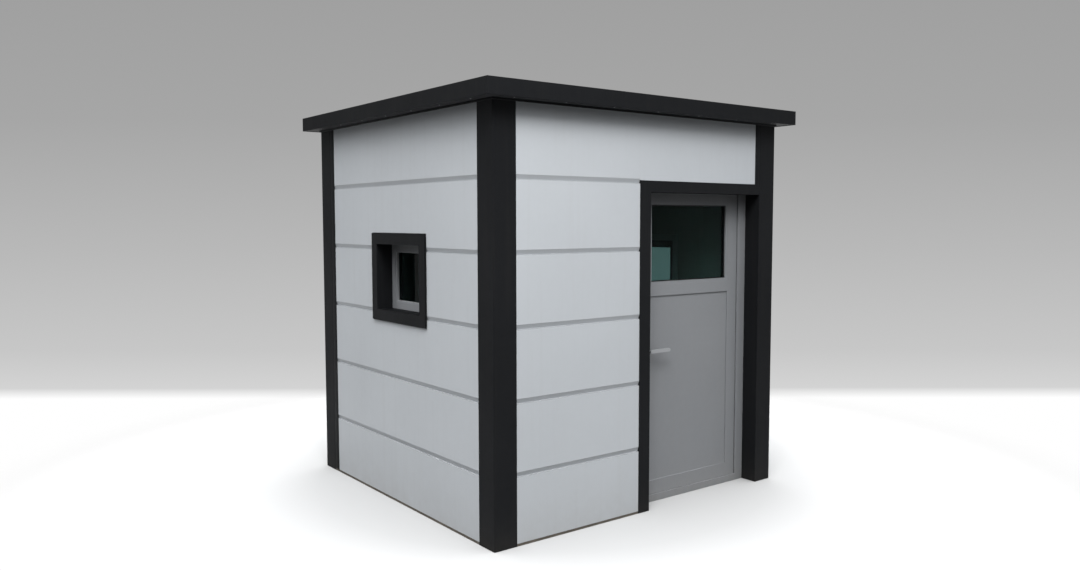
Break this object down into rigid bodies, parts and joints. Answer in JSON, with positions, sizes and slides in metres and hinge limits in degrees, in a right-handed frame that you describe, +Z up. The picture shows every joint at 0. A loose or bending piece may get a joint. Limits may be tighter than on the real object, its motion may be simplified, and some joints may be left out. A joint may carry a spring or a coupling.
{
  "type": "security guard booth",
  "caption": "Small insulated guard booth with grooved panel walls, corner posts, a flat overhanging roof, side windows and an inward-opening glazed door.",
  "frame": {"origin": "middle of the footprint, on the ground", "axes": "+Z up, -Y out of the front wall that holds the door, +X to the right as seen from the front"},
  "size_m": [2.57, 2.44, 2.591],
  "materials": {
    "panel_light_grey": "light grey coated sheet, satin, with dark grooves between courses",
    "trim_anthracite": "anthracite coated sheet, satin",
    "door_grey": "mid grey coated profiles, satin",
    "tinted_glass": "dark tinted sealed glass",
    "satin_steel": "satin steel",
    "lining_laminate": "plain grey laminate board",
    "ceiling_white": "white board",
    "floor_vinyl": "grey flecked vinyl",
    "floor_board": "sealed plywood",
    "track_metal": "dark brown coated track",
    "soffit_dark": "anthracite coated sheet, matt",
    "deck_metal": "coated sandwich panel",
    "roof_membrane": "matt grey roofing membrane"
  },
  "bodies": {
    "booth": {"floor_base": "floor_board", "floor_covering": "floor_vinyl", "base_track": "track_metal", "corner_post_front_left": "trim_anthracite", "corner_post_front_right": "trim_anthracite", "corner_post_back_left": "trim_anthracite", "corner_post_back_right": "trim_anthracite", "front_wall": "panel_light_grey", "front_wall_over_door": "panel_light_grey", "back_wall": "panel_light_grey", "left_wall": "panel_light_grey", "right_wall": "panel_light_grey", "front_lining": "lining_laminate", "front_lining_over_door": "lining_laminate", "back_lining": "lining_laminate", "left_lining": "lining_laminate", "right_lining": "lining_laminate", "door_post": "trim_anthracite", "door_head_trim": "trim_anthracite", "door_jamb_lock": "door_grey", "door_jamb_hinge": "door_grey", "door_frame_head": "door_grey", "door_sill": "door_grey", "hinge_frame_halves": "satin_steel", "window_trim_left": "trim_anthracite", "window_frame_left": "door_grey", "window_glass_left": "tinted_glass", "window_trim_right": "trim_anthracite", "window_frame_right": "door_grey", "window_glass_right": "tinted_glass", "soffit": "soffit_dark", "ceiling": "ceiling_white", "roof_deck": "deck_metal", "roof_membrane": "roof_membrane", "fascia_front": "trim_anthracite", "fascia_back": "trim_anthracite", "fascia_left": "trim_anthracite", "fascia_right": "trim_anthracite"},
    "door": {"door_leaf": "door_grey", "door_glass": "tinted_glass", "door_panel": "door_grey", "door_beads": "door_grey", "hinge_door_halves": "satin_steel", "handle_plate_outside": "satin_steel", "handle_plate_inside": "satin_steel", "lock_cylinder": "satin_steel"},
    "handle": {"lever_outside": "satin_steel", "lever_inside": "satin_steel"}
  },
  "joints": [
    {"name": "door_swing", "type": "hinge", "parent": "booth", "child": "door", "pos_m": [0.9665, -0.934, 1.033], "axis": [0, 0, -1], "range_deg": [0, 85]},
    {"name": "handle_turn", "type": "hinge", "parent": "door", "child": "handle", "pos_m": [0.09, -0.967, 1], "axis": [0, 1, 0], "range_deg": [0, 40], "stiffness_Nm_per_rad": 1.5, "springref_deg": -34.38}
  ]
}
